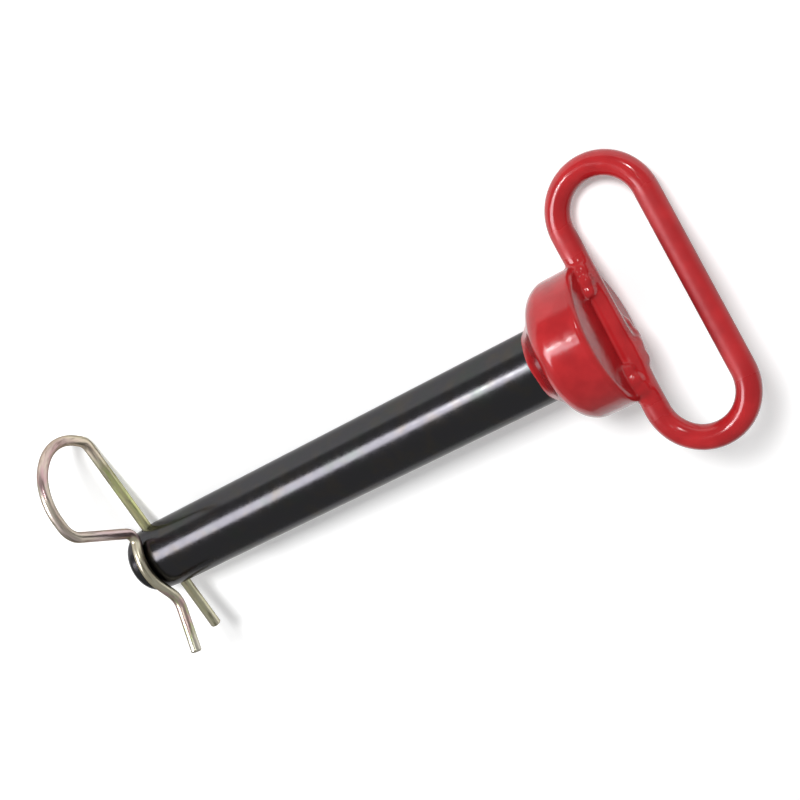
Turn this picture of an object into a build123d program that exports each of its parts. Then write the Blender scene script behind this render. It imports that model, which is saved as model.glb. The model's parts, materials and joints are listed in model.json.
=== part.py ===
from build123d import *
import os
from math import asin, atan2, cos, degrees, hypot, radians, sin, tan

# Hitch pin with a welded rod handle and a hairpin clip, lying on a floor as it comes to rest.
# Millimetres. The pin's own frame starts where the shank leaves the head: +X runs along the
# shank to the nose, Y runs along the handle, and +Z is the side that the clip's open leg crosses.
# LYING then lays that frame on the floor, with the origin under the middle of the whole thing.

os.makedirs("parts", exist_ok=True)

# Shank: one inch bar, with a cross hole for the clip close to its nose
shank_radius = 12.7
shank_length = 185.3
tenon_length = 18.0
tenon_radius = 10.0
nose_length = 12.6
nose_end_radius = 11.7
nose_round = 3.8
cross_hole_radius = 2.4
cross_hole_from_nose_end = 10.3
cross_hole_turn = 13.5

# Head: a bored boss, flared underneath, with a flat top
head_length = 24.3
head_radius = 24.2
neck_radius = 13.6
neck_length = 0.7
flare_angle = 56.0
flare_round = 3.5
rim_round = 1.8

# Ring of weld in the corner between the shank and the head, run into a bevel round the shank
neck_weld_along = 1.1
neck_weld_height = 0.9
bevel_depth = 0.8

# Handle: one closed loop of round rod, its near bar let into the head's top
rod_radius = 4.17
rod_above_face = 1.22
handle_gap = 30.8
handle_straight = 63.2
handle_offset = 2.4
handle_lean = 1.2

# Weld beads between the rod and the head's top: length, place along the rod, and side of it
bead_radius = 2.9
bead_out = 4.9
bead_above_face = 0.3
beads = [(30.0, 0.0, -1), (6.0, 14.5, 1), (6.0, -14.5, 1)]

# Hairpin clip: one wire, bent flat. Its points are (along, across) from the cross hole's middle:
# along is the straight leg's direction towards the loop, across is towards the open leg.
wire_radius = 1.985
wire_end_chamfer = 0.4
clip_clearance = 0.2
straight_leg_end = (-34.3, 0.0)
loop_corner = (52.4, 0.0)
loop_corner_radius = 5.5
loop_bulge = (62.5, 14.5)
loop_shoulder = (50.4, 37.6)
loop_radius = 21.0
loop_back = (30.6, 37.6)
loop_back_radius = 8.0
hug_towards_loop = 42.0
first_pinch_run = 5.7
first_pinch_radius = 4.0
hug_towards_end = -25.0
second_pinch_run = 10.3
second_pinch_radius = 8.0
open_leg_end = (-34.5, 18.7)
hug_radius = shank_radius + clip_clearance + wire_radius

# At rest the pin lies on the head's band and the nose, rolled over until the clip's loop is down
cross_hole_x = shank_length - cross_hole_from_nose_end
taper_start = shank_length - nose_length
flare_corner = neck_length + (head_radius - neck_radius) / tan(radians(flare_angle))
band_start = flare_corner + flare_round * tan(radians(flare_angle / 2))
pitch = atan2(head_radius - shank_radius, taper_start + band_start)
floor_below_shoulder = head_radius * cos(pitch) - band_start * sin(pitch)
floor_below_clip = (floor_below_shoulder - cross_hole_x * sin(pitch)) / cos(pitch)

# The loop touches on the arc of its corner, whose middle is straight above the leg's last point
loop_climb = atan2(loop_bulge[1], loop_bulge[0] - loop_corner[0])
straight_end = loop_corner[0] - loop_corner_radius * tan(loop_climb / 2)
arc_middle_reach = hypot(straight_end, loop_corner_radius)
clip_dip = asin((floor_below_clip - wire_radius - loop_corner_radius) / arc_middle_reach)
clip_dip += atan2(loop_corner_radius, straight_end)
roll = cross_hole_turn + degrees(clip_dip)

# From the shoulder to the middle of the lying pin's box
middle_x = 62.43
middle_y = -9.7

ON_FLOOR = Location((-middle_x, -middle_y, floor_below_shoulder))
PITCHED = Location((0, 0, 0), (0, degrees(pitch), 0))
ROLLED = Location((0, 0, 0), (roll, 0, 0))
LYING = ON_FLOOR * PITCHED * ROLLED
PIN_AXIS = Axis.X.located(LYING)

# The handle's own frame has its near bar along Y, and the cross hole runs along hole_direction
HANDLE_PLACE = LYING * Location((-head_length - rod_above_face, 0, 0), (0, 0, handle_lean))
hole_turn = radians(cross_hole_turn)
hole_middle = (cross_hole_x, 0, 0)
hole_direction = (0, -cos(hole_turn), sin(hole_turn))
hole_across = Plane(hole_middle, x_dir=(1, 0, 0), z_dir=hole_direction)
clip_flat = Plane(hole_middle, x_dir=hole_direction, z_dir=(-1, 0, 0))
HOLE_PLANE = Plane(LYING * hole_across.location)
CLIP_PLANE = Plane(LYING * clip_flat.location)
PROFILE_PLANE = Plane(LYING * Plane.XZ.location)
SHOULDER_PLANE = Plane(LYING * Plane.YZ.location)
HANDLE_PLANE = Plane(HANDLE_PLACE)


# Shank: turned bar with a tapered, rounded nose, and a bevel and a tenon at the head's end
with BuildPart() as shank:
    with BuildSketch(PROFILE_PLANE) as shank_profile:
        with BuildLine():
            Polyline(
                (-tenon_length, 0),
                (-tenon_length, tenon_radius),
                (0, tenon_radius),
                (0, shank_radius - bevel_depth),
                (neck_weld_along, shank_radius),
                (taper_start, shank_radius),
                (shank_length, nose_end_radius),
                (shank_length, 0),
                close=True,
            )
        make_face()
        nose_end = shank_profile.vertices().group_by(Axis.X)[-1]
        fillet(nose_end.sort_by(Axis.Y)[-1], nose_round)
    revolve(axis=PIN_AXIS)
    with BuildSketch(HOLE_PLANE):
        Circle(cross_hole_radius)
    extrude(amount=2 * shank_radius, both=True, mode=Mode.SUBTRACT)
shank.part.label = "shank"
export_step(shank.part, "parts/shank.step")


# Handle: round rod along a closed line of two straights and two half rings
with BuildPart() as handle:
    with BuildSketch(HANDLE_PLANE, mode=Mode.PRIVATE) as handle_outline:
        with Locations((-handle_gap / 2, -handle_offset)):
            SlotCenterToCenter(handle_straight, handle_gap, rotation=90)
    handle_line = handle_outline.sketch.face().outer_wire()
    with BuildSketch(Plane(handle_line @ 0, z_dir=handle_line % 0)):
        Circle(rod_radius)
    sweep(path=handle_line)
handle.part.label = "handle"
export_step(handle.part, "parts/handle.step")


# Head: turned boss, bored for the tenon, with a saddle across its top for the rod
with BuildPart() as head:
    with BuildSketch(PROFILE_PLANE) as head_profile:
        with BuildLine():
            Polyline(
                (0, 0),
                (0, neck_radius),
                (-neck_length, neck_radius),
                (-flare_corner, head_radius),
                (-head_length, head_radius),
                (-head_length, 0),
                close=True,
            )
        make_face()
        flare_edge = head_profile.vertices().group_by(Axis.Y)[-1].sort_by(Axis.X)[-1]
        fillet(flare_edge, flare_round)
        rim_edge = head_profile.vertices().group_by(Axis.Y)[-1].sort_by(Axis.X)[0]
        fillet(rim_edge, rim_round)
    revolve(axis=PIN_AXIS)
    with BuildSketch(SHOULDER_PLANE):
        Circle(tenon_radius)
    extrude(amount=-tenon_length, mode=Mode.SUBTRACT)
    add(handle.part, mode=Mode.SUBTRACT)
head.part.label = "head"
export_step(head.part, "parts/head.step")


# Neck weld: a ring in the corner between the shank and the head's underside
with BuildPart() as neck_weld:
    with BuildSketch(PROFILE_PLANE):
        with BuildLine():
            Polyline(
                (0, shank_radius + neck_weld_height),
                (0, shank_radius - bevel_depth),
                (neck_weld_along, shank_radius),
                close=True,
            )
        make_face()
    revolve(axis=PIN_AXIS)
neck_weld.part.label = "neck_weld"
export_step(neck_weld.part, "parts/neck_weld.step")


# Handle welds: round-ended beads, cut to lie against the rod and the head's top
with BuildPart() as handle_welds:
    for bead_length, along_rod, side in beads:
        bead_place = Location((rod_above_face - bead_above_face, along_rod, side * bead_out))
        with Locations(HANDLE_PLACE * bead_place):
            Cylinder(bead_radius, bead_length, rotation=(90, 0, 0))
        for bead_end in (-bead_length / 2, bead_length / 2):
            with Locations(HANDLE_PLACE * bead_place * Location((0, bead_end, 0))):
                Sphere(bead_radius)
    add(handle.part, mode=Mode.SUBTRACT)
    add(head.part, mode=Mode.SUBTRACT)
handle_welds.part.label = "handle_welds"
export_step(handle_welds.part, "parts/handle_welds.step")


def off_hug(angle, run):
    """The point reached by leaving the hug's circle at an angle from straight across, then
    running on along its tangent."""
    away = radians(angle)
    onward = run if angle > 0 else -run
    along = hug_radius * sin(away) + onward * cos(away)
    across = hug_radius * cos(away) - onward * sin(away)
    return (along, across)


# Hairpin clip: drawn wire. Its hug is an arc about the shank's own centre.
with BuildPart() as hairpin_clip:
    hug_half_angle = (hug_towards_loop - hug_towards_end) / 2
    route = [
        straight_leg_end,
        loop_corner,
        loop_bulge,
        loop_shoulder,
        loop_back,
        off_hug(hug_towards_loop, first_pinch_run),
        off_hug(hug_towards_loop, -hug_radius * tan(radians(hug_half_angle))),
        off_hug(hug_towards_end, second_pinch_run),
        open_leg_end,
    ]
    bend_radii = [
        loop_corner_radius,
        loop_radius,
        loop_radius,
        loop_back_radius,
        first_pinch_radius,
        hug_radius,
        second_pinch_radius,
    ]
    with BuildLine(CLIP_PLANE) as clip_line:
        FilletPolyline(*route, radius=bend_radii)
    clip_wire = clip_line.wire()
    with BuildSketch(Plane(clip_wire @ 0, z_dir=clip_wire % 0)):
        Circle(wire_radius)
    sweep(path=clip_wire)
    wire_ends = hairpin_clip.faces().filter_by(GeomType.PLANE)
    chamfer(wire_ends.edges(), wire_end_chamfer)
hairpin_clip.part.label = "hairpin_clip"
export_step(hairpin_clip.part, "parts/hairpin_clip.step")
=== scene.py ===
"""Looks of the hitch pin: black shank, red enamelled head and handle, yellow zinc hairpin clip."""

import json
import logging
import math
from dataclasses import dataclass
from enum import Enum
from typing import Any, Callable

import bmesh
import bpy
import numpy as np
from mathutils import Matrix, Vector


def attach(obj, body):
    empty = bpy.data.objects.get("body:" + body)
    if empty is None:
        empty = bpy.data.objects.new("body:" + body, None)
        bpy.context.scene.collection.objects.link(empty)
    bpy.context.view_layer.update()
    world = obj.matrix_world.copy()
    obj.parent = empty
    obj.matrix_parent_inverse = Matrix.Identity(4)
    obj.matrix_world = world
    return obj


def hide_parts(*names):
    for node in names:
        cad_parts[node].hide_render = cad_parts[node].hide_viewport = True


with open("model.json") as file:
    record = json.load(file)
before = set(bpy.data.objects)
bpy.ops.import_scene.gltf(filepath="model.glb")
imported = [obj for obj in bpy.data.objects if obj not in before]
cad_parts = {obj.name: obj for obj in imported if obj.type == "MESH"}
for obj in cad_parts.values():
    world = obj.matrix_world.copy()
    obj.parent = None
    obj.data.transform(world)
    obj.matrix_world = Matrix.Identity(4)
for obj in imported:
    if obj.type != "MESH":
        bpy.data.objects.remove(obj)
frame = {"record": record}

MM = 0.001
TINY = 1e-12
LOG = logging.getLogger("hitch_pin")
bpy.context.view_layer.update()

Colour = tuple[float, float, float, float]
Triple = tuple[float, float, float]


class Slot(Enum):
    """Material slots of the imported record."""

    BLACK_STEEL = "black_steel"
    RED_ENAMEL = "red_enamel"
    YELLOW_ZINC = "yellow_zinc"


class Body(Enum):
    """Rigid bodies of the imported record."""

    PIN = "pin"
    CLIP = "clip"


# ---------------------------------------------------------------- the pin's own frame


@dataclass(frozen=True)
class PinFrame:
    """The pin's own axes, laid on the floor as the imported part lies.

    Its origin is where the shank leaves the head. X runs to the nose, Y along the handle, and Z
    is the side that the clip's open leg crosses.
    """

    origin: Vector
    x: Vector
    y: Vector
    z: Vector
    hole: Vector
    hole_across: Vector

    @classmethod
    def from_record(
        cls, record: dict[str, Any], mount_along: float, hole_turn: float
    ) -> "PinFrame":
        """Reads the frame from the shank's mount and the clip's joint.

        Args:
            record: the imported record.
            mount_along: distance in millimetres from the frame's origin to the mount's point.
            hole_turn: angle in degrees from the handle's direction to the clip's hole.

        Returns:
            The pin's frame in the row frame, in metres.
        """
        mount = record["mounts"][0]
        x = Vector(mount["axis"]).normalized()
        hole = Vector(record["behaviour"]["joints"][0]["axis"]).normalized()
        across = hole.cross(x)
        turn = math.radians(hole_turn)
        y = across * math.sin(turn) - hole * math.cos(turn)
        z = across * math.cos(turn) + hole * math.sin(turn)
        origin = Vector(mount["pos_m"]) - x * (mount_along * MM)
        return cls(origin, x, y, z, hole, across)

    def matrix(self) -> Matrix:
        """The matrix that carries a point of the pin's frame to the row frame."""
        turned = Matrix((self.x, self.y, self.z)).transposed().to_4x4()
        return Matrix.Translation(self.origin) @ turned

    def point(self, x: float, y: float, z: float) -> Vector:
        """A point of the pin's frame in millimetres, as one of the row frame in metres."""
        return self.origin + self.x * (x * MM) + self.y * (y * MM) + self.z * (z * MM)

    def sight(self, place: Triple, aim: Triple) -> tuple[Vector, Vector]:
        """Where a lamp or a camera stands, and which way is straight behind it.

        Args:
            place: its place in the pin's frame, in millimetres.
            aim: the point that it looks at, in the same frame.

        Returns:
            The place and the unit direction from the aim to it, in the row frame.
        """
        stand = self.point(*place)
        return stand, (stand - self.point(*aim)).normalized()


# ---------------------------------------------------------------- meshes and objects


def link_object(name: str, data: bpy.types.ID) -> bpy.types.Object:
    """Puts a mesh, a lamp or a camera into the scene.

    Args:
        name: the object's name.
        data: what the object holds.

    Returns:
        The object, at the origin.
    """
    holder = bpy.data.objects.new(name, data)
    bpy.context.scene.collection.objects.link(holder)
    return holder


def turned_object(
    name: str, data: bpy.types.ID, place: Vector, axes: tuple[Vector, ...]
) -> bpy.types.Object:
    """Puts a lamp or a camera into the scene, turned to its own axes.

    Args:
        name: the object's name.
        data: the lamp or the camera.
        place: where it stands, in the row frame.
        axes: its own X, Y and Z directions, in the row frame.

    Returns:
        The object.
    """
    holder = link_object(name, data)
    holder.matrix_world = Matrix.Translation(place) @ Matrix(axes).transposed().to_4x4()
    return holder


def mesh_of(shape: bmesh.types.BMesh, name: str) -> bpy.types.Mesh:
    """Turns a shape into a mesh, and frees it.

    Args:
        shape: the shape, which is used up.
        name: the mesh's name.

    Returns:
        The mesh.
    """
    mesh = bpy.data.meshes.new(name)
    shape.to_mesh(mesh)
    shape.free()
    return mesh


def plain_mesh(holder: bpy.types.Object) -> bpy.types.Mesh:
    """Bakes an object's modifiers.

    Args:
        holder: the object, which keeps its modifiers.

    Returns:
        The plain mesh that the modifiers make.
    """
    bpy.context.view_layer.update()
    evaluated = holder.evaluated_get(bpy.context.evaluated_depsgraph_get())
    return bpy.data.meshes.new_from_object(evaluated)


def finished_piece(
    name: str, mesh: bpy.types.Mesh, material: bpy.types.Material
) -> bpy.types.Object:
    """Makes a piece of a mesh that already lies in the row frame.

    Args:
        name: the piece's name.
        mesh: its mesh, in the row frame.
        material: the piece's finish.

    Returns:
        The piece, at the origin, with its place in its mesh.
    """
    mesh.materials.clear()
    mesh.materials.append(material)
    return link_object(name, mesh)


# ---------------------------------------------------------------- smooth solids


def rounded_meet(a: np.ndarray, b: np.ndarray, radius: float) -> np.ndarray:
    """Distance to what two solids share, with their common edge rounded.

    Args:
        a: distances to the first solid.
        b: distances to the second solid.
        radius: radius of the rounded edge.

    Returns:
        The distances to the shared solid.
    """
    corner = np.hypot(np.maximum(a + radius, 0), np.maximum(b + radius, 0))
    return np.minimum(np.maximum(a, b), -radius) + corner


def filleted_join(a: np.ndarray, b: np.ndarray, radius: float) -> np.ndarray:
    """Distance to two solids joined, with the corner between them filled by a fillet.

    Args:
        a: distances to the first solid.
        b: distances to the second solid.
        radius: radius of the fillet.

    Returns:
        The distances to the joined solid.
    """
    corner = np.hypot(np.maximum(radius - a, 0), np.maximum(radius - b, 0))
    return np.maximum(np.minimum(a, b), radius) - corner


def melted_join(parts: list[np.ndarray], softness: float) -> np.ndarray:
    """Distance to solids joined as if they had run into one another.

    Args:
        parts: distances to each solid.
        softness: how far round a corner the solids run together.

    Returns:
        The distances to the joined solid.
    """
    return -softness * np.log(sum(np.exp(-part / softness) for part in parts))


def smooth_step(share: np.ndarray) -> np.ndarray:
    """Eases a share from 0 to 1 without a kink at either end."""
    held = np.clip(share, 0, 1)
    return held * held * (3 - 2 * held)


@dataclass
class SurfaceNet:
    """Turns a distance function into a closed mesh of even quads that lie on its surface."""

    distance: Callable[[np.ndarray], np.ndarray]
    low: tuple[float, float, float]
    high: tuple[float, float, float]
    step: float
    settle_rounds: int = 4
    probe_share: float = 0.05

    def normals(self, points: np.ndarray) -> np.ndarray:
        """Outward unit directions at points, from small differences of the distance.

        Args:
            points: places to measure at, one row each.

        Returns:
            One unit vector for each point.
        """
        probe = self.step * self.probe_share
        slope = np.empty_like(points)
        for axis in range(3):
            nudge = np.zeros(3)
            nudge[axis] = probe
            slope[:, axis] = self.distance(points + nudge) - self.distance(points - nudge)
        return slope / np.maximum(np.linalg.norm(slope, axis=1, keepdims=True), TINY)

    def mesh(self, name: str) -> bpy.types.Mesh:
        """Builds the mesh, with its normals taken from the distance function.

        Args:
            name: the mesh's name.

        Returns:
            The mesh, in the distance function's own frame.
        """
        axes = [np.arange(lo, hi + self.step, self.step) for lo, hi in zip(self.low, self.high)]
        grid = np.stack(np.meshgrid(*axes, indexing="ij"), axis=-1)
        values = self.distance(grid.reshape(-1, 3)).reshape(grid.shape[:3])
        inside = values < 0
        corners = [(i, j, k) for i in (0, 1) for j in (0, 1) for k in (0, 1)]
        cells = tuple(size - 1 for size in values.shape)

        def at_corner(array: np.ndarray, corner: tuple[int, int, int]) -> np.ndarray:
            """The array's values at one corner of every cell."""
            return array[tuple(slice(c, c + n) for c, n in zip(corner, cells))]

        count = sum(at_corner(inside, corner).astype(np.int8) for corner in corners)
        live = (count > 0) & (count < 8)
        number = np.full(cells, -1, np.int64)
        number[live] = np.arange(live.sum())
        total = np.zeros((live.sum(), 3))
        crossings = np.zeros(live.sum())
        for first in corners:
            for axis in range(3):
                if first[axis]:
                    continue
                second = tuple(1 if n == axis else c for n, c in enumerate(first))
                a = at_corner(values, first)[live]
                b = at_corner(values, second)[live]
                crossed = (a < 0) != (b < 0)
                share = np.where(crossed, a / np.where(crossed, a - b, 1), 0)
                place = np.array(first, float) + share[:, None] * np.eye(3)[axis]
                total += place * crossed[:, None]
                crossings += crossed
        start = np.array([axis[0] for axis in axes])
        points = start + (np.argwhere(live) + total / crossings[:, None]) * self.step
        for _ in range(self.settle_rounds):
            points = points - self.normals(points) * self.distance(points)[:, None]
        faces = self._faces(inside, number)
        mesh = bpy.data.meshes.new(name)
        mesh.from_pydata(points.tolist(), [], faces.tolist())
        mesh.shade_smooth()
        mesh.normals_split_custom_set_from_vertices(self.normals(points).tolist())
        return mesh

    @staticmethod
    def _faces(inside: np.ndarray, number: np.ndarray) -> np.ndarray:
        """One quad round each grid edge that the surface crosses, facing outwards.

        Args:
            inside: whether each grid point is inside the solid.
            number: each cell's vertex, or -1.

        Returns:
            Vertex numbers, four to a row.
        """
        quads = []
        for axis in range(3):
            before = [slice(1, -1)] * 3
            after = [slice(1, -1)] * 3
            before[axis] = slice(0, -1)
            after[axis] = slice(1, None)
            a, b = inside[tuple(before)], inside[tuple(after)]
            u, v = (axis + 1) % 3, (axis + 2) % 3
            for leaving, found in ((True, a & ~b), (False, ~a & b)):
                edge = np.argwhere(found)
                edge[:, u] += 1
                edge[:, v] += 1
                ring = []
                for du, dv in ((1, 1), (0, 1), (0, 0), (1, 0)):
                    cell = edge.copy()
                    cell[:, u] -= du
                    cell[:, v] -= dv
                    ring.append(number[tuple(cell.T)])
                quad = np.stack(ring, axis=1)
                quads.append(quad if leaving else quad[:, ::-1])
        return np.concatenate(quads)


# ---------------------------------------------------------------- shader nodes


@dataclass
class NodeDesk:
    """A node tree and short ways to fill it."""

    tree: bpy.types.NodeTree

    def add(self, kind: str, **settings: Any) -> bpy.types.Node:
        """Adds a node and sets its properties.

        Args:
            kind: the node's type name.
            **settings: properties of the node, by name.

        Returns:
            The new node.
        """
        node = self.tree.nodes.new(kind)
        for name, value in settings.items():
            setattr(node, name, value)
        return node

    def feed(self, node: bpy.types.Node, **sources: Any) -> bpy.types.Node:
        """Sets or links a node's inputs.

        Args:
            node: the node to feed.
            **sources: sockets to link or plain values, by input name with _ for a space. A name
                of the form in0 picks an input by its place.

        Returns:
            The same node.
        """
        for name, source in sources.items():
            if name[:2] == "in" and name[2:].isdigit():
                socket = node.inputs[int(name[2:])]
            else:
                socket = node.inputs[name.replace("_", " ")]
            if isinstance(source, bpy.types.NodeSocket):
                self.tree.links.new(source, socket)
            else:
                socket.default_value = source
        return node

    def math(self, operation: str, a: Any, b: Any) -> bpy.types.NodeSocket:
        """A Math node's result.

        Args:
            operation: the Math node's operation.
            a: first socket or value.
            b: second socket or value.

        Returns:
            The result's socket.
        """
        return self.feed(self.add("ShaderNodeMath", operation=operation), in0=a, in1=b).outputs[0]

    def stretch(self, vector: Any, scale: Triple) -> bpy.types.NodeSocket:
        """A vector multiplied by another, axis by axis."""
        node = self.add("ShaderNodeVectorMath", operation="MULTIPLY")
        return self.feed(node, in0=vector, in1=scale).outputs["Vector"]

    def blend(self, factor: Any, a: Any, b: Any) -> bpy.types.NodeSocket:
        """A colour between two colours.

        Args:
            factor: share of the second colour.
            a: first colour, as a socket or four numbers.
            b: second colour, as a socket or four numbers.

        Returns:
            The mixed colour's socket.
        """
        node = self.add("ShaderNodeMix", data_type="RGBA")
        self.feed(node, in0=factor, in6=a, in7=b)
        return node.outputs[2]

    def group(self, tree: bpy.types.NodeTree, **sources: Any) -> bpy.types.NodeSocket:
        """The one output of a shader node group, placed here with its inputs fed."""
        return self.feed(self.add("ShaderNodeGroup", node_tree=tree), **sources).outputs[0]

    def rim(self, power: float, strength: float) -> bpy.types.NodeSocket:
        """A mask that grows towards a shape's edges, where its surface turns away.

        Args:
            power: how close to the edge the mask keeps.
            strength: the mask's value at the very edge.

        Returns:
            The mask's socket.
        """
        facing = self.feed(self.add("ShaderNodeLayerWeight"), Blend=0.5).outputs["Facing"]
        return self.math("MULTIPLY", self.math("POWER", facing, power), strength)

    def bump(self, height: Any, strength: float, distance: float) -> bpy.types.NodeSocket:
        """A normal bent by a height.

        Args:
            height: the height's socket, from 0 to 1.
            strength: how much of the bending is used.
            distance: what a height of 1 stands for, in metres.

        Returns:
            The normal's socket.
        """
        node = self.add("ShaderNodeBump")
        self.feed(node, Strength=strength, Distance=distance, Height=height)
        return node.outputs["Normal"]


def shader_group(
    name: str, inputs: dict[str, float], output: str
) -> tuple[NodeDesk, bpy.types.NodeOutputs, bpy.types.Node]:
    """Starts a shader node group with an input called Vector, float inputs and a float output.

    Args:
        name: the group's name.
        inputs: default value of each float input, by name.
        output: name of the output.

    Returns:
        The group's desk, the sockets of its inputs and its output node.
    """
    tree = bpy.data.node_groups.new(name, "ShaderNodeTree")
    tree.interface.new_socket("Vector", in_out="INPUT", socket_type="NodeSocketVector")
    for label, default in inputs.items():
        socket = tree.interface.new_socket(label, in_out="INPUT", socket_type="NodeSocketFloat")
        socket.default_value = default
    tree.interface.new_socket(output, in_out="OUTPUT", socket_type="NodeSocketFloat")
    desk = NodeDesk(tree)
    return desk, desk.add("NodeGroupInput").outputs, desk.add("NodeGroupOutput")


def mottle_group() -> bpy.types.NodeTree:
    """Cloudy patches from 0 to 1, for tints, stains and uneven gloss.

    Returns:
        The group, whose output is Mask.
    """
    inputs = {"Scale": 100.0, "Detail": 3.0, "Low": 0.35, "High": 0.65}
    desk, given, result = shader_group("mottle", inputs, "Mask")
    noise = desk.add("ShaderNodeTexNoise")
    desk.feed(noise, Vector=given["Vector"], Scale=given["Scale"], Detail=given["Detail"])
    ramp = desk.add("ShaderNodeMapRange", interpolation_type="SMOOTHSTEP")
    desk.feed(ramp, Value=noise.outputs["Fac"], From_Min=given["Low"], From_Max=given["High"])
    desk.feed(result, Mask=ramp.outputs["Result"])
    return desk.tree


def relief_group() -> bpy.types.NodeTree:
    """Height of a surface with a broad unevenness and a fine grain.

    Returns:
        The group, whose output is Height.
    """
    inputs = {"Broad Scale": 200.0, "Broad": 1.0, "Fine Scale": 2000.0, "Fine": 0.2}
    desk, given, result = shader_group("relief", inputs, "Height")
    heights = []
    for layer, detail in (("Broad", 1.0), ("Fine", 2.0)):
        noise = desk.add("ShaderNodeTexNoise")
        desk.feed(noise, Vector=given["Vector"], Scale=given[f"{layer} Scale"], Detail=detail)
        heights.append(desk.math("MULTIPLY", noise.outputs["Fac"], given[layer]))
    desk.feed(result, Height=desk.math("ADD", *heights))
    return desk.tree


@dataclass(frozen=True)
class Effects:
    """Node groups that every finish shares."""

    mottle: bpy.types.NodeTree
    relief: bpy.types.NodeTree


def new_material(name: str) -> tuple[bpy.types.Material, NodeDesk, bpy.types.Node]:
    """Starts a material.

    Args:
        name: the material's name.

    Returns:
        The material, its desk and its Principled BSDF node.
    """
    material = bpy.data.materials.new(name)
    material.use_nodes = True
    desk = NodeDesk(material.node_tree)
    return material, desk, material.node_tree.nodes["Principled BSDF"]


@dataclass(frozen=True)
class BlackOxide:
    """Black oxide on a cold drawn bar, lightly oiled."""

    black: Colour = (0.059, 0.058, 0.062, 1)
    brown: Colour = (0.069, 0.063, 0.057, 1)
    green: Colour = (0.056, 0.062, 0.057, 1)
    rim_tint: Colour = (0.62, 0.62, 0.62, 1)
    roughness: float = 0.17
    roughness_spread: float = 0.06
    bump_strength: float = 0.6
    bump_distance: float = 0.02 * MM

    def material(self, effects: Effects) -> bpy.types.Material:
        """Builds the finish.

        Args:
            effects: the shared node groups.

        Returns:
            The material.
        """
        material, desk, surface = new_material("black_oxide")
        place = desk.add("ShaderNodeTexCoord").outputs["Object"]
        mottle = effects.mottle
        brown = desk.group(mottle, Vector=place, Scale=140.0, Detail=5.0, Low=0.45, High=0.75)
        green = desk.group(mottle, Vector=place, Scale=90.0, Detail=6.0, Low=0.5, High=0.78)
        worn = desk.group(mottle, Vector=place, Scale=260.0, Detail=4.0, Low=0.3, High=0.7)
        tint = desk.blend(brown, self.black, self.brown)
        tint = desk.blend(green, tint, self.green)
        spread = desk.math("MULTIPLY", worn, self.roughness_spread)
        relief = desk.group(
            effects.relief, Vector=place, Broad_Scale=500.0, Broad=0.6, Fine_Scale=4000.0, Fine=0.5
        )
        desk.feed(
            surface,
            Base_Color=tint,
            Specular_Tint=self.rim_tint,
            Metallic=1.0,
            Roughness=desk.math("ADD", spread, self.roughness),
            Normal=desk.bump(relief, self.bump_strength, self.bump_distance),
        )
        return material


@dataclass(frozen=True)
class RedEnamel:
    """Thick dipped enamel, glossy, with a soft orange peel, and dull where hands rub it."""

    red: Colour = (0.42, 0.014, 0.017, 1)
    deep_red: Colour = (0.34, 0.009, 0.012, 1)
    # Painted shade: deep red laid over the enamel towards its edges, where the surface turns away
    # from view.
    edge_shade_red: Colour = (0.1, 0.002, 0.006, 1)
    rim_power: float = 3.0
    rim_shade: float = 0.7
    roughness: float = 0.12
    roughness_spread: float = 0.07
    dulling: float = 0.34
    bump_strength: float = 0.5
    bump_distance: float = 0.12 * MM

    def material(self, effects: Effects) -> bpy.types.Material:
        """Builds the finish.

        Args:
            effects: the shared node groups.

        Returns:
            The material.
        """
        material, desk, surface = new_material("red_enamel")
        place = desk.add("ShaderNodeTexCoord").outputs["Object"]
        mottle = effects.mottle
        deeper = desk.group(mottle, Vector=place, Scale=120.0, Detail=3.0, Low=0.35, High=0.7)
        uneven = desk.group(mottle, Vector=place, Scale=300.0, Detail=3.0, Low=0.3, High=0.7)
        tint = desk.blend(deeper, self.red, self.deep_red)
        # Painted shade: the colour darkens towards the edges, where the surface turns away,
        # standing in for dark reflections.
        tint = desk.blend(desk.rim(self.rim_power, self.rim_shade), tint, self.edge_shade_red)
        relief = desk.group(
            effects.relief, Vector=place, Broad_Scale=230.0, Broad=1.0, Fine_Scale=1500.0, Fine=0.06
        )
        polish = desk.add("ShaderNodeAttribute", attribute_name="polish").outputs["Fac"]
        dull = desk.math("MULTIPLY", desk.math("SUBTRACT", 1.0, polish), self.dulling)
        spread = desk.math("ADD", desk.math("MULTIPLY", uneven, self.roughness_spread), dull)
        desk.feed(
            surface,
            Base_Color=tint,
            Roughness=desk.math("ADD", spread, self.roughness),
            Normal=desk.bump(relief, self.bump_strength, self.bump_distance),
        )
        return material


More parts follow.
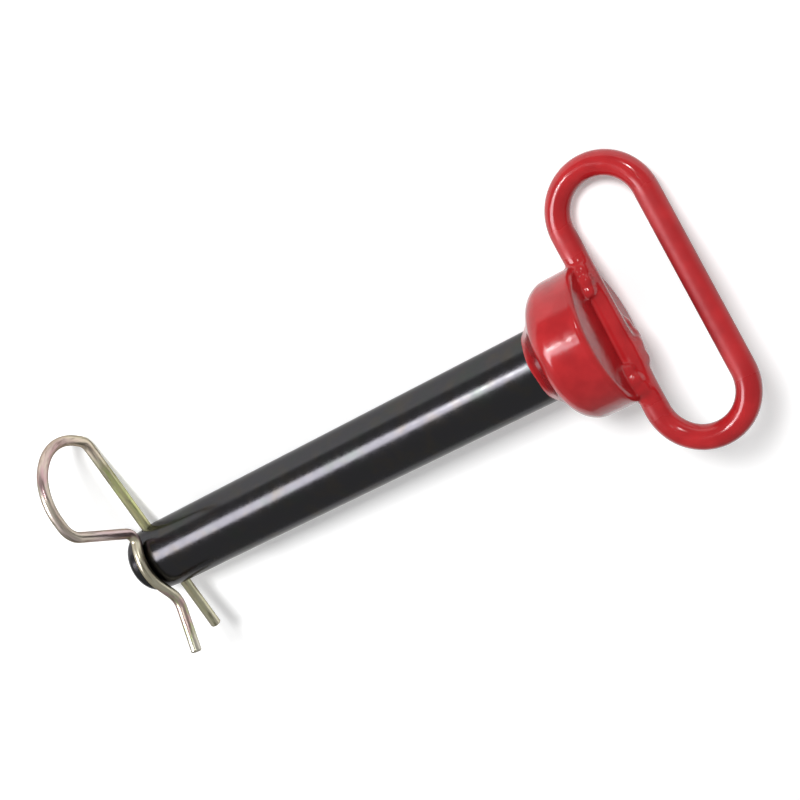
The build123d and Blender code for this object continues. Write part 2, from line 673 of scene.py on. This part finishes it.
@dataclass(frozen=True)
class YellowZinc:
    """Yellow passivated zinc on drawn wire: gold with pink, green and olive bands.

    Each tint is a share of the wire's length, from the straight leg's end, and the colour there.
    """

    tints: tuple[tuple[float, Colour], ...] = (
        (0.0, (0.7, 0.66, 0.5, 1)),
        (0.06, (0.59, 0.58, 0.38, 1)),
        (0.16, (0.61, 0.53, 0.44, 1)),
        (0.2, (0.59, 0.59, 0.35, 1)),
        (0.25, (0.77, 0.77, 0.42, 1)),
        (0.29, (0.59, 0.66, 0.28, 1)),
        (0.33, (0.61, 0.59, 0.38, 1)),
        (0.38, (0.77, 0.7, 0.54, 1)),
        (0.43, (0.81, 0.68, 0.56, 1)),
        (0.47, (0.59, 0.47, 0.42, 1)),
        (0.51, (0.59, 0.39, 0.4, 1)),
        (0.55, (0.59, 0.5, 0.44, 1)),
        (0.59, (0.61, 0.55, 0.44, 1)),
        (0.65, (0.77, 0.66, 0.59, 1)),
        (0.69, (0.81, 0.66, 0.66, 1)),
        (0.76, (0.81, 0.59, 0.59, 1)),
        (0.79, (0.66, 0.61, 0.44, 1)),
        (0.83, (0.7, 0.66, 0.51, 1)),
        (0.88, (0.68, 0.63, 0.47, 1)),
        (0.91, (0.63, 0.44, 0.44, 1)),
        (0.935, (0.5, 0.56, 0.31, 1)),
        (0.96, (0.68, 0.66, 0.5, 1)),
        (1.0, (0.73, 0.71, 0.61, 1)),
    )
    wire_length: float = 229.2 * MM
    tint_wander: float = 12.0 * MM
    patch_stretch: Triple = (0.25, 1.6, 1.6)
    drawn_stretch: Triple = (0.06, 1.0, 1.0)
    # Dark colour for the random stains, and painted shade at the wire's edges.
    stain_and_edge_shade: Colour = (0.08, 0.06, 0.045, 1)
    stain_strength: float = 0.6
    rim_power: float = 1.6
    rim_shade: float = 0.95
    rim_tint: Colour = (0.45, 0.4, 0.32, 1)
    roughness: float = 0.28
    roughness_spread: float = 0.1
    bump_strength: float = 0.5
    bump_distance: float = 0.02 * MM

    def material(self, effects: Effects) -> bpy.types.Material:
        """Builds the finish, which follows the wire by its wire_space attribute.

        Args:
            effects: the shared node groups.

        Returns:
            The material.
        """
        material, desk, surface = new_material("yellow_zinc")
        along = desk.add("ShaderNodeAttribute", attribute_name="wire_space").outputs["Vector"]
        bands = desk.stretch(along, self.patch_stretch)
        drawn = desk.stretch(along, self.drawn_stretch)
        mottle = effects.mottle
        patches = desk.group(mottle, Vector=bands, Scale=260.0, Detail=3.0, Low=0.3, High=0.7)
        stains = desk.group(mottle, Vector=bands, Scale=500.0, Detail=4.0, Low=0.5, High=0.72)
        run = desk.feed(desk.add("ShaderNodeSeparateXYZ"), Vector=along).outputs["X"]
        wander = desk.math("MULTIPLY", patches, self.tint_wander * 2)
        place = desk.math("SUBTRACT", desk.math("ADD", run, wander), self.tint_wander)
        ramp = desk.add("ShaderNodeValToRGB")
        desk.feed(ramp, Fac=desk.math("DIVIDE", place, self.wire_length))
        while len(ramp.color_ramp.elements) < len(self.tints):
            ramp.color_ramp.elements.new(1.0)
        for element, (stop, colour) in zip(ramp.color_ramp.elements, self.tints):
            element.position = stop
            element.color = colour
        stained = desk.math("MULTIPLY", stains, self.stain_strength)
        tint = desk.blend(stained, ramp.outputs["Color"], self.stain_and_edge_shade)
        # Painted shade: the colour darkens towards the wire's edges, where the surface turns away,
        # standing in for dark reflections.
        tint = desk.blend(desk.rim(self.rim_power, self.rim_shade), tint, self.stain_and_edge_shade)
        relief = desk.group(
            effects.relief, Vector=drawn, Broad_Scale=900.0, Broad=1.0, Fine_Scale=4000.0, Fine=0.5
        )
        spread = desk.math("MULTIPLY", patches, self.roughness_spread)
        desk.feed(
            surface,
            Base_Color=tint,
            Specular_Tint=self.rim_tint,
            Metallic=1.0,
            Roughness=desk.math("ADD", spread, self.roughness),
            Normal=desk.bump(relief, self.bump_strength, self.bump_distance),
        )
        return material


# ---------------------------------------------------------------- pieces


@dataclass
class Shank:
    """The bar: a turned solid with a tapered, rounded nose and a cross hole. Millimetres."""

    radius: float = 12.7
    length: float = 185.3
    tenon: float = 18.0
    tenon_radius: float = 10.0
    neck_weld_along: float = 1.1
    nose: float = 12.6
    nose_end_radius: float = 11.7
    nose_round: float = 3.8
    hole_radius: float = 2.4
    hole_from_end: float = 10.3
    hole_turn: float = 13.5
    taper_blend: float = 0.8
    taper_ease: float = 0.02
    merge_within: float = 0.001
    sharp_angle: float = 35.0
    nose_steps: int = 12
    segments: int = 256
    hole_segments: int = 96

    @property
    def hole_place(self) -> float:
        """Distance from the shoulder to the cross hole."""
        return self.length - self.hole_from_end

    @property
    def wall_middle(self) -> float:
        """Distance from the shoulder to the middle of the bar's plain wall."""
        return (self.neck_weld_along + self.length - self.nose) / 2

    def profile(self) -> list[tuple[float, float]]:
        """Draws the half section that the bar is turned from.

        Returns:
            Its points as (along, radius), from the tenon's end to the nose's middle.
        """
        start = self.length - self.nose
        slope = math.atan2(self.radius - self.nose_end_radius, self.nose)
        reach = self.nose_round * math.tan((math.pi / 2 - slope) / 2)
        middle = (self.length - self.nose_round, self.nose_end_radius - reach)
        points = [(-self.tenon, 0.0), (-self.tenon, self.tenon_radius), (0.0, self.tenon_radius)]
        points += [(start * share, self.radius) for share in (0, 0.25, 0.5, 0.75)]
        points += [(start - self.taper_blend, self.radius), (start, self.radius - self.taper_ease)]
        for step in range(self.nose_steps + 1):
            angle = (math.pi / 2 - slope) * (1 - step / self.nose_steps)
            along = middle[0] + self.nose_round * math.cos(angle)
            points.append((along, middle[1] + self.nose_round * math.sin(angle)))
        return [*points, (self.length, 0.0)]

    def build(self, pin: PinFrame, material: bpy.types.Material) -> bpy.types.Object:
        """Turns the bar and cuts its hole.

        Args:
            pin: the pin's frame.
            material: its finish.

        Returns:
            The finished piece.
        """
        shape = bmesh.new()
        ring = [shape.verts.new((x * MM, 0.0, r * MM)) for x, r in self.profile()]
        lines = [shape.edges.new(pair) for pair in zip(ring, ring[1:])]
        bmesh.ops.spin(
            shape,
            geom=ring + lines,
            axis=(1, 0, 0),
            cent=(0, 0, 0),
            angle=2 * math.pi,
            steps=self.segments,
            use_merge=True,
        )
        bmesh.ops.remove_doubles(shape, verts=shape.verts, dist=self.merge_within * MM)
        bmesh.ops.recalc_face_normals(shape, faces=shape.faces)
        mesh = mesh_of(shape, "shank_bar")
        mesh.transform(pin.matrix())
        piece = finished_piece("shank_bar", mesh, material)
        self._cut_hole(piece, pin)
        piece.data.shade_smooth()
        piece.data.set_sharp_from_angle(angle=math.radians(self.sharp_angle))
        return piece

    def _cut_hole(self, piece: bpy.types.Object, pin: PinFrame) -> None:
        """Drills the cross hole through the nose.

        Args:
            piece: the bar, in the row frame.
            pin: the pin's frame.
        """
        drill_shape = bmesh.new()
        bmesh.ops.create_cone(
            drill_shape,
            cap_ends=True,
            segments=self.hole_segments,
            radius1=self.hole_radius * MM,
            radius2=self.hole_radius * MM,
            depth=3 * self.radius * MM,
        )
        turn = pin.hole.to_track_quat("Z", "Y").to_matrix().to_4x4()
        drill_shape.transform(Matrix.Translation(pin.point(self.hole_place, 0, 0)) @ turn)
        drill = link_object("drill", mesh_of(drill_shape, "drill"))
        cut = piece.modifiers.new("cross_hole", "BOOLEAN")
        cut.operation = "DIFFERENCE"
        cut.object = drill
        cut.solver = "EXACT"
        drilled = plain_mesh(piece)
        piece.modifiers.clear()
        piece.data = drilled
        bpy.data.objects.remove(drill)


@dataclass
class EnamelledHead:
    """Head, neck ring, handle and welds under one coat. Millimetres in the pin's frame.

    Each lump of weld is its middle's place and its radius. The coat's end round the shank sways
    in waves, and each of the sways is a height, a number of waves round and a phase.
    """

    head_length: float = 24.3
    head_radius: float = 24.2
    neck_radius: float = 13.6
    neck_length: float = 0.7
    flare_angle: float = 56.0
    flare_round: float = 3.0
    rim_round: float = 1.8
    neck_round: float = 0.4
    coat_along: float = 1.3
    coat_start: float = 5.0
    coat_radius: float = 12.87
    coat_round: float = 0.12
    sways: tuple[tuple[float, int, float], ...] = ((0.2, 3, 0.7), (0.12, 7, 2.0))
    sway_depth: float = 9.0
    skirt_angle: float = 38.6
    skirt_back: float = 0.1
    skirt_fillet: float = 0.9
    coat_fillet: float = 0.3
    rod_radius: float = 4.17
    rod_above_face: float = 1.22
    handle_gap: float = 30.8
    handle_straight: float = 63.2
    handle_offset: float = 2.4
    handle_lean: float = 1.2
    paint_fillet: float = 1.1
    rub_ramp: float = 6.0
    bend_ramp: float = 10.0
    past_shoulder: float = 1.5
    step: float = 0.5
    weld_softness: float = 0.9
    lumps: tuple[tuple[float, float, float, float], ...] = (
        (-25.8, -21.4, 3.4, 1.9),
        (-26.2, -17.6, 4.6, 1.7),
        (-25.6, -14.0, 4.9, 1.6),
        (-25.2, 13.4, 4.8, 1.7),
        (-25.8, 17.2, 4.8, 2.0),
        (-26.0, 20.8, 3.6, 2.2),
        (-25.4, -4.0, -5.4, 2.4),
        (-26.0, 0.5, -6.0, 3.2),
        (-26.6, 5.0, -5.6, 3.6),
        (-26.4, 9.8, -5.8, 3.4),
        (-26.2, 14.2, -4.8, 3.0),
        (-25.8, 18.0, -3.8, 2.4),
        (-28.0, 7.5, -2.8, 2.6),
        (-28.0, 12.5, -2.6, 2.4),
        (-25.4, -18.6, -4.4, 2.2),
    )

    def head(self, p: np.ndarray) -> np.ndarray:
        """Distance to the head: band, flare, top and underside, with their edges rounded.

        Args:
            p: points in the pin's frame, in millimetres.

        Returns:
            One distance for each point.
        """
        depth = -p[:, 0]
        out = np.hypot(p[:, 1], p[:, 2])
        angle = math.radians(self.flare_angle)
        along_flare = depth - self.neck_length
        flare = (out - self.neck_radius) * math.cos(angle) - along_flare * math.sin(angle)
        side = rounded_meet(out - self.head_radius, flare, self.flare_round)
        topped = rounded_meet(side, depth - self.head_length, self.rim_round)
        return rounded_meet(topped, -depth, self.neck_round)

    def rod(self, p: np.ndarray) -> np.ndarray:
        """Distance to the handle's closed loop of rod.

        Args:
            p: points in the pin's frame, in millimetres.

        Returns:
            One distance for each point.
        """
        lean = math.radians(self.handle_lean)
        x = p[:, 0] + self.head_length + self.rod_above_face
        across = x * math.cos(lean) + p[:, 1] * math.sin(lean)
        along = p[:, 1] * math.cos(lean) - x * math.sin(lean)
        from_middle = np.abs(along + self.handle_offset) - self.handle_straight / 2
        in_plane = np.hypot(across + self.handle_gap / 2, np.maximum(from_middle, 0))
        return np.hypot(in_plane - self.handle_gap / 2, p[:, 2]) - self.rod_radius

    def neck_coat(self, p: np.ndarray) -> np.ndarray:
        """Distance to the coat round the neck: a skirt over the ring of weld, unevenly ended.

        Args:
            p: points in the pin's frame, in millimetres.

        Returns:
            One distance for each point.
        """
        around = np.arctan2(p[:, 2], p[:, 1])
        above = np.hypot(p[:, 1], p[:, 2]) - self.coat_radius
        sway = sum(height * np.sin(count * around + phase) for height, count, phase in self.sways)
        sway *= smooth_step(1 + above / self.sway_depth)
        past_end = p[:, 0] - self.coat_along - sway
        ends = np.maximum(past_end, -p[:, 0] - self.coat_start)
        slope = math.radians(self.skirt_angle)
        face = (past_end + self.skirt_back) * math.sin(slope) + above * math.cos(slope)
        sleeve = rounded_meet(above, ends, self.coat_round)
        return filleted_join(np.maximum(face, ends), sleeve, self.coat_fillet)

    def distance(self, p: np.ndarray) -> np.ndarray:
        """Distance to the whole enamelled shape.

        Args:
            p: points in the pin's frame, in millimetres.

        Returns:
            One distance for each point.
        """
        shape = filleted_join(self.head(p), self.neck_coat(p), self.skirt_fillet)
        parts = [filleted_join(shape, self.rod(p), self.paint_fillet)]
        for *middle, radius in self.lumps:
            parts.append(np.linalg.norm(p - np.array(middle), axis=1) - radius)
        return melted_join(parts, self.weld_softness)

    def build(self, pin: PinFrame, material: bpy.types.Material) -> bpy.types.Object:
        """Meshes the enamelled shape.

        Args:
            pin: the pin's frame.
            material: its finish.

        Returns:
            The finished piece.
        """
        margin = 3 * self.step
        half_handle = self.handle_straight / 2 + self.handle_gap / 2 + self.rod_radius
        far_side = self.head_length + self.rod_above_face + self.handle_gap + self.rod_radius
        one_side = half_handle + self.handle_offset + margin
        other_side = half_handle - self.handle_offset + margin
        low = (-far_side - margin, -one_side, -self.head_radius - margin)
        high = (self.past_shoulder + margin, other_side, self.head_radius + margin)
        mesh = SurfaceNet(self.distance, low, high, self.step).mesh("enamelled_head")
        self._store_polish(mesh)
        mesh.transform(Matrix.Scale(MM, 4))
        mesh.transform(pin.matrix())
        return finished_piece("enamelled_head", mesh, material)

    def _store_polish(self, mesh: bpy.types.Mesh) -> None:
        """Marks where the coat keeps its gloss: everywhere but the bars that hands rub.

        Args:
            mesh: the enamelled shape, in the pin's frame, in millimetres.
        """
        points = np.empty(len(mesh.vertices) * 3)
        mesh.vertices.foreach_get("co", points)
        points = points.reshape(-1, 3)
        past_head = -points[:, 0] - self.head_length - self.rod_above_face - self.rod_radius
        off_head = np.maximum(past_head, np.abs(points[:, 1]) - self.head_radius)
        to_bend = self.handle_straight / 2 - np.abs(points[:, 1] + self.handle_offset)
        rubbed = smooth_step(off_head / self.rub_ramp)
        rubbed *= smooth_step((to_bend + self.rub_ramp) / self.bend_ramp)
        polish = mesh.attributes.new("polish", "FLOAT", "POINT")
        polish.data.foreach_set("value", 1 - rubbed)


@dataclass
class HairpinClip:
    """One drawn wire bent flat: straight leg, loop, pinch, hug, pinch and open leg. Millimetres.

    Its places are (along, across) from the cross hole's middle: along is the straight leg's
    direction towards the loop, and across is towards the open leg. Each corner of the loop has
    its bend's radius as a third number.
    """

    shank: Shank
    wire_radius: float = 1.985
    clearance: float = 0.2
    straight_leg_end: tuple[float, float] = (-34.3, 0.0)
    loop: tuple[Triple, ...] = (
        (52.4, 0.0, 5.5),
        (62.5, 14.5, 21.0),
        (50.4, 37.6, 21.0),
        (30.6, 37.6, 8.0),
    )
    hug_towards_loop: float = 42.0
    first_pinch_run: float = 5.7
    first_pinch_radius: float = 4.0
    hug_towards_end: float = -25.0
    second_pinch_run: float = 10.3
    second_pinch_radius: float = 8.0
    open_leg_end: tuple[float, float] = (-34.5, 18.7)
    end_chamfer: float = 0.45
    sample: float = 0.45
    bend_points: int = 48
    sides: int = 40
    sharp_angle: float = 40.0

    @property
    def hug(self) -> float:
        """Radius of the wire's middle where it goes round the shank."""
        return self.shank.radius + self.clearance + self.wire_radius

    def _off_hug(self, angle: float, run: float) -> tuple[float, float]:
        """A point on the hug's tangent.

        Args:
            angle: where the wire leaves the hug's circle, in degrees from straight across.
            run: how far it runs on along the tangent.

        Returns:
            The point as (along, across) from the cross hole's middle.
        """
        away = math.radians(angle)
        onward = run if angle > 0 else -run
        along = self.hug * math.sin(away) + onward * math.cos(away)
        return along, self.hug * math.cos(away) - onward * math.sin(away)

    def route(self) -> list[Triple]:
        """Works out the wire's corners.

        Returns:
            The corners as (along, across, bend radius), with the two ends.
        """
        half = math.radians(self.hug_towards_loop - self.hug_towards_end) / 2
        to_corner = -self.hug * math.tan(half)
        return [
            (*self.straight_leg_end, 0.0),
            *self.loop,
            (*self._off_hug(self.hug_towards_loop, self.first_pinch_run), self.first_pinch_radius),
            (*self._off_hug(self.hug_towards_loop, to_corner), self.hug),
            (*self._off_hug(self.hug_towards_end, self.second_pinch_run), self.second_pinch_radius),
            (*self.open_leg_end, 0.0),
        ]

    def wire_tree(self, material: bpy.types.Material) -> bpy.types.NodeTree:
        """Geometry Nodes that round a polyline's corners and draw a wire along it.

        Args:
            material: the wire's finish.

        Returns:
            The tree, with inputs for the wire's sizes in metres, its sampling and its sides.
        """
        tree = bpy.data.node_groups.new("bent_wire", "GeometryNodeTree")
        face = tree.interface
        face.new_socket("Geometry", in_out="INPUT", socket_type="NodeSocketGeometry")
        for label in ("Wire Radius", "End Chamfer", "Sample Length"):
            face.new_socket(label, in_out="INPUT", socket_type="NodeSocketFloat")
        face.new_socket("Sides", in_out="INPUT", socket_type="NodeSocketInt")
        face.new_socket("Geometry", in_out="OUTPUT", socket_type="NodeSocketGeometry")
        desk = NodeDesk(tree)
        given = desk.add("NodeGroupInput").outputs

        bend = desk.add("GeometryNodeInputNamedAttribute", data_type="FLOAT")
        desk.feed(bend, Name="bend_radius")
        to_curve = desk.feed(desk.add("GeometryNodeMeshToCurve"), Mesh=given["Geometry"])
        rounded = desk.add("GeometryNodeFilletCurve", mode="POLY")
        desk.feed(rounded, Curve=to_curve.outputs[0], Radius=bend.outputs[0])
        desk.feed(rounded, Count=self.bend_points)
        even = desk.add("GeometryNodeResampleCurve", mode="LENGTH")
        desk.feed(even, Curve=rounded.outputs[0], Length=given["Sample Length"])

        run = desk.add("GeometryNodeSplineParameter").outputs["Length"]
        whole = desk.add("GeometryNodeSplineLength").outputs["Length"]
        to_end = desk.math("MINIMUM", run, desk.math("SUBTRACT", whole, run))
        chamfer = desk.math("SUBTRACT", given["End Chamfer"], to_end)
        cut = desk.math("MAXIMUM", chamfer, 0.0)
        thick = desk.math("SUBTRACT", given["Wire Radius"], cut)
        thinned = desk.add("GeometryNodeSetCurveRadius")
        desk.feed(thinned, Curve=even.outputs[0], Radius=thick)

        kept_run = desk.add("GeometryNodeCaptureAttribute", domain="POINT")
        kept_run.capture_items.new("FLOAT", "run")
        desk.feed(kept_run, in0=thinned.outputs[0], in1=run)
        circle = desk.add("GeometryNodeCurvePrimitiveCircle", mode="RADIUS")
        desk.feed(circle, Resolution=given["Sides"], Radius=1.0)
        kept_side = desk.add("GeometryNodeCaptureAttribute", domain="POINT")
        kept_side.capture_items.new("VECTOR", "side")
        position = desk.add("GeometryNodeInputPosition").outputs[0]
        desk.feed(kept_side, in0=circle.outputs[0], in1=position)

        radius = desk.add("GeometryNodeInputRadius").outputs[0]
        wire = desk.add("GeometryNodeCurveToMesh")
        desk.feed(wire, Curve=kept_run.outputs[0], Profile_Curve=kept_side.outputs[0])
        desk.feed(wire, Scale=radius, Fill_Caps=True)
        side = desk.feed(desk.add("ShaderNodeSeparateXYZ"), Vector=kept_side.outputs[1]).outputs
        y, z = (desk.math("MULTIPLY", side[axis], given["Wire Radius"]) for axis in ("X", "Y"))
        space = desk.feed(desk.add("ShaderNodeCombineXYZ"), X=kept_run.outputs[1], Y=y, Z=z)
        stored = desk.add("GeometryNodeStoreNamedAttribute", data_type="FLOAT_VECTOR")
        desk.feed(stored, Geometry=wire.outputs[0], Name="wire_space", Value=space.outputs[0])
        solid = desk.feed(desk.add("GeometryNodeRealizeInstances"), Geometry=stored.outputs[0])
        coloured = desk.add("GeometryNodeSetMaterial")
        desk.feed(coloured, Geometry=solid.outputs[0], Material=material)
        desk.feed(desk.add("NodeGroupOutput"), Geometry=coloured.outputs[0])
        return tree

    def build(self, pin: PinFrame, material: bpy.types.Material) -> bpy.types.Object:
        """Bends the wire.

        Args:
            pin: the pin's frame.
            material: its finish.

        Returns:
            The finished piece.
        """
        hole = pin.point(self.shank.hole_place, 0, 0)
        points, bends = [], []
        for along, across, bend in self.route():
            points.append(hole + pin.hole * (along * MM) + pin.hole_across * (across * MM))
            bends.append(bend * MM)
        line = bpy.data.meshes.new("clip_route")
        line.from_pydata(points, [(n, n + 1) for n in range(len(points) - 1)], [])
        line.attributes.new("bend_radius", "FLOAT", "POINT").data.foreach_set("value", bends)
        guide = link_object("clip_route", line)
        modifier = guide.modifiers.new("bent_wire", "NODES")
        modifier.node_group = self.wire_tree(material)
        values = {
            "Wire Radius": self.wire_radius * MM,
            "End Chamfer": self.end_chamfer * MM,
            "Sample Length": self.sample * MM,
            "Sides": self.sides,
        }
        for item in modifier.node_group.interface.items_tree:
            if item.name in values:
                modifier[item.identifier] = values[item.name]
        mesh = plain_mesh(guide)
        bpy.data.objects.remove(guide)
        mesh.shade_smooth()
        mesh.set_sharp_from_angle(angle=math.radians(self.sharp_angle))
        return finished_piece("hairpin_wire", mesh, material)


# ---------------------------------------------------------------- studio


@dataclass(frozen=True)
class SoftBox:
    """A rectangular lamp, placed and turned in the pin's frame. Millimetres."""

    name: str
    place: Triple
    aim: Triple
    width_along: Triple
    width: float
    height: float
    radiance: float
    lights_diffuse: bool = True
    seen_in_gloss: bool = True
    colour: Triple = (1.0, 1.0, 1.0)

    def build(self, pin: PinFrame) -> bpy.types.Object:
        """Hangs the lamp.

        Args:
            pin: the pin's frame.

        Returns:
            The lamp's object.
        """
        lamp = bpy.data.lights.new(self.name, "AREA")
        lamp.shape = "RECTANGLE"
        lamp.size = self.width * MM
        lamp.size_y = self.height * MM
        lamp.energy = self.radiance * math.pi * lamp.size * lamp.size_y
        lamp.color = self.colour
        lamp.specular_factor = float(self.seen_in_gloss)
        lamp.diffuse_factor = float(self.lights_diffuse)
        place, back = pin.sight(self.place, self.aim)
        upright = back.cross(pin.matrix().to_3x3() @ Vector(self.width_along)).normalized()
        holder = turned_object(self.name, lamp, place, (upright.cross(back), upright, back))
        holder.visible_diffuse = self.lights_diffuse
        holder.visible_glossy = self.seen_in_gloss
        return holder


@dataclass
class Studio:
    """White floor, soft lamps and the camera, which stand in the pin's frame. Millimetres."""

    camera_place: Triple = (-188.03, -10.15, 457.29)
    camera_aim: Triple = (49.59, -11.1, 9.92)
    camera_up: Triple = (-0.4043, -0.8895, -0.2129)
    lens: float = 67.851
    sensor: float = 36.0
    nearest: float = 10.0
    room_light: float = 0.28
    room_in_gloss: float = 0.36
    floor_size: float = 8000.0
    floor_grey: float = 0.96
    floor_glow: float = 0.18
    fade_start: float = 280.0
    fade_end: float = 900.0
    lamps: tuple[SoftBox, ...] = (
        SoftBox(
            "key", (-400, -387, 1676), (20, 0, 10), (0, 1, 0), 380, 380, 62.0,
            seen_in_gloss=False,
        ),
        SoftBox(
            "fill", (1050, 0, 335), (-5, 0, 5), (0, 1, 0), 600, 500, 7.0,
            seen_in_gloss=False,
        ),
        SoftBox(
            "streak", (935, -250, 1240), (90, 0, 10), (1, 0.3, 0), 880, 540, 10.0,
            lights_diffuse=False, colour=(0.95, 0.94, 1.0),
        ),
        SoftBox(
            "hot_spot", (635, -445, 1383), (-33, -47, 0), (0, 1, 0), 100, 100, 70.0,
            lights_diffuse=False,
        ),
        SoftBox(
            "rim_spot", (-645, -725, 1200), (-54, -42, 0), (0, 1, 0), 110, 110, 90.0,
            lights_diffuse=False,
        ),
    )

    def camera(self, pin: PinFrame) -> bpy.types.Object:
        """Sets up the camera.

        Args:
            pin: the pin's frame.

        Returns:
            The camera's object.
        """
        data = bpy.data.cameras.new("camera")
        data.lens = self.lens
        data.sensor_width = self.sensor
        data.clip_start = self.nearest * MM
        place, back = pin.sight(self.camera_place, self.camera_aim)
        side = (pin.matrix().to_3x3() @ Vector(self.camera_up)).cross(back).normalized()
        holder = turned_object("camera", data, place, (side, back.cross(side), back))
        bpy.context.scene.camera = holder
        return holder

    def floor_finish(self) -> bpy.types.Material:
        """Builds the floor's finish: pale paper that keeps a shadow, and plain white far off.

        Returns:
            The material.
        """
        material = bpy.data.materials.new("floor_white")
        material.use_nodes = True
        desk = NodeDesk(material.node_tree)
        material.node_tree.nodes.clear()
        grey = (self.floor_grey, self.floor_grey, self.floor_grey, 1)
        paper = desk.feed(desk.add("ShaderNodeBsdfDiffuse"), Color=grey)
        rays = desk.add("ShaderNodeLightPath").outputs
        seen = desk.math("MAXIMUM", rays["Is Camera Ray"], rays["Is Glossy Ray"])
        seen = desk.math("MAXIMUM", seen, rays["Is Transmission Ray"])
        faint = desk.math("MULTIPLY", seen, self.floor_glow)
        glow = desk.feed(desk.add("ShaderNodeEmission"), Strength=faint)
        near = desk.feed(desk.add("ShaderNodeAddShader"), in0=paper.outputs[0], in1=glow.outputs[0])
        far = desk.feed(desk.add("ShaderNodeEmission"), Strength=seen)
        place = desk.add("ShaderNodeTexCoord").outputs["Object"]
        reach = desk.feed(desk.add("ShaderNodeVectorMath", operation="LENGTH"), in0=place)
        fade = desk.add("ShaderNodeMapRange", interpolation_type="SMOOTHSTEP")
        desk.feed(fade, From_Min=self.fade_start * MM, From_Max=self.fade_end * MM)
        desk.feed(fade, Value=reach.outputs["Value"])
        whole = desk.add("ShaderNodeMixShader")
        desk.feed(whole, in0=fade.outputs["Result"], in1=near.outputs[0], in2=far.outputs[0])
        desk.feed(desk.add("ShaderNodeOutputMaterial"), Surface=whole.outputs[0])
        return material

    def floor(self) -> None:
        """Lays the floor, which looks white where nothing shades it."""
        shape = bmesh.new()
        bmesh.ops.create_grid(shape, x_segments=1, y_segments=1, size=self.floor_size * MM / 2)
        finished_piece("floor", mesh_of(shape, "floor"), self.floor_finish())

    def world(self) -> None:
        """Fills the room with a plain pale light."""
        world = bpy.data.worlds.new("studio")
        world.use_nodes = True
        desk = NodeDesk(world.node_tree)
        rays = desk.add("ShaderNodeLightPath").outputs
        gloss = desk.math("MULTIPLY", rays["Is Glossy Ray"], self.room_in_gloss)
        lit = desk.math("MAXIMUM", gloss, self.room_light)
        seen = desk.math("MAXIMUM", rays["Is Camera Ray"], rays["Is Transmission Ray"])
        sky = world.node_tree.nodes["Background"]
        desk.feed(sky, Color=(1, 1, 1, 1), Strength=desk.math("MAXIMUM", seen, lit))
        bpy.context.scene.world = world

    def build(self, pin: PinFrame) -> None:
        """Builds the whole studio.

        Args:
            pin: the pin's frame.
        """
        bpy.context.scene.view_settings.view_transform = "Standard"
        self.camera(pin)
        self.floor()
        self.world()
        for lamp in self.lamps:
            lamp.build(pin)


def dress(piece: bpy.types.Object, body: Body, slot: Slot, *nodes: str) -> None:
    """Hands a finished piece to the frame.

    Args:
        piece: the finished piece.
        body: the body it rides on.
        slot: the record's slot that its finish belongs to; not used.
        *nodes: the CAD nodes that it stands for.
    """
    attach(piece, body.value)
    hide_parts(*nodes)
    LOG.info("%s: %d faces on %s", piece.name, len(piece.data.polygons), body.value)


def main() -> None:
    """Builds every piece in order, then the studio."""
    shank = Shank()
    pin = PinFrame.from_record(frame["record"], shank.wall_middle, shank.hole_turn)
    effects = Effects(mottle_group(), relief_group())
    black = BlackOxide().material(effects)
    red = RedEnamel().material(effects)
    zinc = YellowZinc().material(effects)
    dress(shank.build(pin, black), Body.PIN, Slot.BLACK_STEEL, "shank")
    head_nodes = ("head", "neck_weld", "handle", "handle_welds")
    dress(EnamelledHead().build(pin, red), Body.PIN, Slot.RED_ENAMEL, *head_nodes)
    dress(HairpinClip(shank).build(pin, zinc), Body.CLIP, Slot.YELLOW_ZINC, "hairpin_clip")
    Studio().build(pin)


if __name__ == "__main__":
    logging.basicConfig(level=logging.INFO, format="%(name)s %(message)s")
    main()
